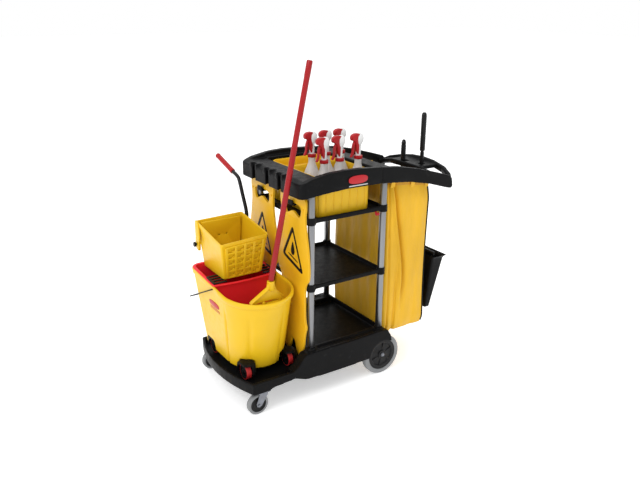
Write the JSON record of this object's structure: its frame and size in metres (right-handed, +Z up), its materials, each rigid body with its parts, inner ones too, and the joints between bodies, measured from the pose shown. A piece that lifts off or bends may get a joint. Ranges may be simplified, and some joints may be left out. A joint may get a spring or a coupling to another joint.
{
  "type": "janitor cleaning cart",
  "caption": "Loaded cleaning cart with shelves, waste bag, spray bottles, floor signs, mop bucket with wringer, mop, dustpan and broom.",
  "frame": {"origin": "middle of the whole object's box in plan, on the floor", "axes": "+X towards the push handle and waste bag, -X towards the mop bucket platform, -Y the near side with the plain long face, +Z up"},
  "size_m": [1.221, 0.7686, 1.5296],
  "materials": {
    "black_plastic": "satin moulded, fine grain",
    "black_tube": "smooth, slightly shiny",
    "bristle": "stiff bristles",
    "post_aluminium": "satin anodised",
    "zinc_steel": "zinc plated",
    "grey_tyre": "matte moulded rubber",
    "hub_plastic": "satin moulded",
    "yellow_plastic": "satin moulded, faint sheen",
    "sign_yellow": "smooth moulded",
    "bag_fabric": "coated woven",
    "red_plastic": "satin moulded",
    "red_handle": "smooth coated tube",
    "wheel_red": "matte moulded",
    "wire_steel": "bright drawn wire",
    "lever_black": "smooth black coat",
    "bottle_plastic": "translucent moulded"
  },
  "bodies": {
    "cart": {"deck": "black_plastic", "post_front_near": "post_aluminium", "post_front_far": "post_aluminium", "post_rear_near": "post_aluminium", "post_rear_far": "post_aluminium", "shelf_middle": "black_plastic", "shelf_upper": "black_plastic", "top_frame": "black_plastic", "rear_handle": "black_plastic", "rear_axle": "zinc_steel", "caster_plate_near": "zinc_steel", "caster_plate_far": "zinc_steel", "bag": "bag_fabric"},
    "rear_wheel_near": {"rear_tyre_near": "grey_tyre", "rear_hub_near": "hub_plastic"},
    "caster_swivel_near": {"caster_fork_near": "zinc_steel"},
    "caster_roller_near": {"caster_wheel_near": "grey_tyre"},
    "bin_body_near": {"bin_near": "yellow_plastic"},
    "rear_wheel_far": {"rear_tyre_far": "grey_tyre", "rear_hub_far": "hub_plastic"},
    "caster_swivel_far": {"caster_fork_far": "zinc_steel"},
    "caster_roller_far": {"caster_wheel_far": "grey_tyre"},
    "bin_body_far": {"bin_far": "yellow_plastic"},
    "bottle_1": {"spray_bottle_1": "bottle_plastic"},
    "bottle_trigger_1": {"trigger_1": "red_plastic"},
    "bottle_2": {"spray_bottle_2": "bottle_plastic"},
    "bottle_trigger_2": {"trigger_2": "red_plastic"},
    "bottle_3": {"spray_bottle_3": "bottle_plastic"},
    "bottle_trigger_3": {"trigger_3": "red_plastic"},
    "bottle_4": {"spray_bottle_4": "bottle_plastic"},
    "bottle_trigger_4": {"trigger_4": "red_plastic"},
    "bottle_5": {"spray_bottle_5": "bottle_plastic"},
    "bottle_trigger_5": {"trigger_5": "red_plastic"},
    "bottle_6": {"spray_bottle_6": "bottle_plastic"},
    "bottle_trigger_6": {"trigger_6": "red_plastic"},
    "sign_near": {"sign_near_front": "sign_yellow", "sign_near_back": "sign_yellow"},
    "sign_far": {"sign_far_front": "sign_yellow", "sign_far_back": "sign_yellow"},
    "bucket": {"bucket_body": "yellow_plastic", "bucket_insert": "red_plastic"},
    "bail": {"bail_wire": "wire_steel"},
    "bucket_swivel_front_near": {"bucket_hood_front_near": "hub_plastic"},
    "bucket_roller_front_near": {"bucket_wheel_front_near": "wheel_red"},
    "bucket_swivel_front_far": {"bucket_hood_front_far": "hub_plastic"},
    "bucket_roller_front_far": {"bucket_wheel_front_far": "wheel_red"},
    "bucket_swivel_rear_near": {"bucket_hood_rear_near": "hub_plastic"},
    "bucket_roller_rear_near": {"bucket_wheel_rear_near": "wheel_red"},
    "bucket_swivel_rear_far": {"bucket_hood_rear_far": "hub_plastic"},
    "bucket_roller_rear_far": {"bucket_wheel_rear_far": "wheel_red"},
    "wringer": {"wringer_basket": "yellow_plastic"},
    "press": {"press_plate": "yellow_plastic"},
    "lever": {"wringer_lever": "lever_black", "wringer_grip": "red_plastic"},
    "mop": {"mop_handle": "red_handle", "mop_clamp": "yellow_plastic"},
    "dustpan": {"dustpan_handle": "black_tube"},
    "dustpan_tray": {"dustpan_pan": "black_plastic"},
    "broom": {"broom_handle": "black_tube", "broom_head": "bristle"}
  },
  "joints": [
    {"name": "rear_wheel_near_roll", "type": "hinge", "parent": "cart", "child": "rear_wheel_near", "pos_m": [0.1725, -0.35334, 0.102], "axis": [0, 1, 0], "continuous": true},
    {"name": "caster_near_swivel", "type": "hinge", "parent": "cart", "child": "caster_swivel_near", "pos_m": [-0.4915, -0.35034, 0.104], "axis": [0, 0, 1], "continuous": true},
    {"name": "caster_near_roll", "type": "hinge", "parent": "caster_swivel_near", "child": "caster_roller_near", "pos_m": [-0.5165, -0.35034, 0.05], "axis": [0, 1, 0], "continuous": true},
    {"name": "bin_near_lift", "type": "slide", "parent": "cart", "child": "bin_body_near", "axis": [0, 0, 1], "range_m": [0, 0.15]},
    {"name": "rear_wheel_far_roll", "type": "hinge", "parent": "cart", "child": "rear_wheel_far", "pos_m": [0.1725, 0.13066, 0.102], "axis": [0, 1, 0], "continuous": true},
    {"name": "caster_far_swivel", "type": "hinge", "parent": "cart", "child": "caster_swivel_far", "pos_m": [-0.4915, 0.12766, 0.104], "axis": [0, 0, 1], "continuous": true},
    {"name": "caster_far_roll", "type": "hinge", "parent": "caster_swivel_far", "child": "caster_roller_far", "pos_m": [-0.5165, 0.12766, 0.05], "axis": [0, 1, 0], "continuous": true},
    {"name": "bin_far_lift", "type": "slide", "parent": "cart", "child": "bin_body_far", "axis": [0, 0, 1], "range_m": [0, 0.15]},
    {"name": "bottle_1_lift", "type": "slide", "parent": "bin_body_near", "child": "bottle_1", "axis": [0, 0, 1], "range_m": [0, 0.2]},
    {"name": "trigger_1_pull", "type": "hinge", "parent": "bottle_1", "child": "bottle_trigger_1", "pos_m": [-0.1345, -0.26734, 1.1586], "axis": [0, -1, 0], "range_deg": [0, 10], "stiffness_Nm_per_rad": 0.5},
    {"name": "bottle_2_lift", "type": "slide", "parent": "bin_body_near", "child": "bottle_2", "axis": [0, 0, 1], "range_m": [0, 0.2]},
    {"name": "trigger_2_pull", "type": "hinge", "parent": "bottle_2", "child": "bottle_trigger_2", "pos_m": [-0.0515, -0.26734, 1.1586], "axis": [0, -1, 0], "range_deg": [0, 10], "stiffness_Nm_per_rad": 0.5},
    {"name": "bottle_3_lift", "type": "slide", "parent": "bin_body_near", "child": "bottle_3", "axis": [0, 0, 1], "range_m": [0, 0.2]},
    {"name": "trigger_3_pull", "type": "hinge", "parent": "bottle_3", "child": "bottle_trigger_3", "pos_m": [0.0495, -0.26734, 1.1586], "axis": [0, -1, 0], "range_deg": [0, 10], "stiffness_Nm_per_rad": 0.5},
    {"name": "bottle_4_lift", "type": "slide", "parent": "bin_body_near", "child": "bottle_4", "axis": [0, 0, 1], "range_m": [0, 0.2]},
    {"name": "trigger_4_pull", "type": "hinge", "parent": "bottle_4", "child": "bottle_trigger_4", "pos_m": [-0.1105, -0.13134, 1.1586], "axis": [0, -1, 0], "range_deg": [0, 10], "stiffness_Nm_per_rad": 0.5},
    {"name": "bottle_5_lift", "type": "slide", "parent": "bin_body_near", "child": "bottle_5", "axis": [0, 0, 1], "range_m": [0, 0.2]},
    {"name": "trigger_5_pull", "type": "hinge", "parent": "bottle_5", "child": "bottle_trigger_5", "pos_m": [-0.03, -0.13134, 1.1586], "axis": [0, -1, 0], "range_deg": [0, 10], "stiffness_Nm_per_rad": 0.5},
    {"name": "bottle_6_lift", "type": "slide", "parent": "bin_body_near", "child": "bottle_6", "axis": [0, 0, 1], "range_m": [0, 0.2]},
    {"name": "trigger_6_pull", "type": "hinge", "parent": "bottle_6", "child": "bottle_trigger_6", "pos_m": [0.0505, -0.13134, 1.1586], "axis": [0, -1, 0], "range_deg": [0, 10], "stiffness_Nm_per_rad": 0.5},
    {"name": "sign_near_lift", "type": "slide", "parent": "cart", "child": "sign_near", "axis": [0, 0, 1], "range_m": [0, 0.02]},
    {"name": "sign_far_lift", "type": "slide", "parent": "cart", "child": "sign_far", "axis": [0, 0, 1], "range_m": [0, 0.02]},
    {"name": "bucket_lift", "type": "slide", "parent": "cart", "child": "bucket", "axis": [0, 0, 1], "range_m": [0, 0.05]},
    {"name": "bail_swing", "type": "hinge", "parent": "bucket", "child": "bail", "pos_m": [-0.437, -0.11534, 0.538], "axis": [1, 0, 0], "range_deg": [0, 45]},
    {"name": "bucket_caster_front_near_swivel", "type": "hinge", "parent": "bucket", "child": "bucket_swivel_front_near", "pos_m": [-0.5285, -0.26934, 0.222], "axis": [0, 0, 1], "continuous": true},
    {"name": "bucket_caster_front_near_roll", "type": "hinge", "parent": "bucket_swivel_front_near", "child": "bucket_roller_front_near", "pos_m": [-0.5285, -0.26934, 0.1783], "axis": [1, 0, 0], "continuous": true},
    {"name": "bucket_caster_front_far_swivel", "type": "hinge", "parent": "bucket", "child": "bucket_swivel_front_far", "pos_m": [-0.5335, 0.02866, 0.222], "axis": [0, 0, 1], "continuous": true},
    {"name": "bucket_caster_front_far_roll", "type": "hinge", "parent": "bucket_swivel_front_far", "child": "bucket_roller_front_far", "pos_m": [-0.5335, 0.02866, 0.1783], "axis": [1, 0, 0], "continuous": true},
    {"name": "bucket_caster_rear_near_swivel", "type": "hinge", "parent": "bucket", "child": "bucket_swivel_rear_near", "pos_m": [-0.3075, -0.26134, 0.222], "axis": [0, 0, 1], "continuous": true},
    {"name": "bucket_caster_rear_near_roll", "type": "hinge", "parent": "bucket_swivel_rear_near", "child": "bucket_roller_rear_near", "pos_m": [-0.3075, -0.26134, 0.1783], "axis": [1, 0, 0], "continuous": true},
    {"name": "bucket_caster_rear_far_swivel", "type": "hinge", "parent": "bucket", "child": "bucket_swivel_rear_far", "pos_m": [-0.3075, 0.02866, 0.222], "axis": [0, 0, 1], "continuous": true},
    {"name": "bucket_caster_rear_far_roll", "type": "hinge", "parent": "bucket_swivel_rear_far", "child": "bucket_roller_rear_far", "pos_m": [-0.3075, 0.02866, 0.1783], "axis": [1, 0, 0], "continuous": true},
    {"name": "wringer_lift", "type": "slide", "parent": "bucket", "child": "wringer", "axis": [0, 0, 1], "range_m": [0, 0.08]},
    {"name": "lever_swing", "type": "hinge", "parent": "wringer", "child": "lever", "pos_m": [-0.3215, 0.13466, 0.668], "axis": [1, 0, 0], "range_deg": [0, 75]},
    {"name": "press_slide", "type": "slide", "parent": "wringer", "child": "press", "axis": [0, -1, 0], "range_m": [0, 0.12]},
    {"name": "mop_lift", "type": "slide", "parent": "bucket", "child": "mop", "axis": [0.2092, 0, 0.9779], "range_m": [0, 0.2]},
    {"name": "dustpan_lift", "type": "slide", "parent": "cart", "child": "dustpan", "axis": [0, 0, 1], "range_m": [0, 0.3]},
    {"name": "dustpan_tip", "type": "hinge", "parent": "dustpan", "child": "dustpan_tray", "pos_m": [0.5335, -0.17534, 0.523], "axis": [0, -1, 0], "range_deg": [0, 35]},
    {"name": "broom_lift", "type": "slide", "parent": "cart", "child": "broom", "axis": [0, 0, 1], "range_m": [0, 0.3]}
  ],
  "couplings": [
    {"joint": "press_slide", "follows": "lever_swing", "m_per_rad": 0.0916}
  ]
}
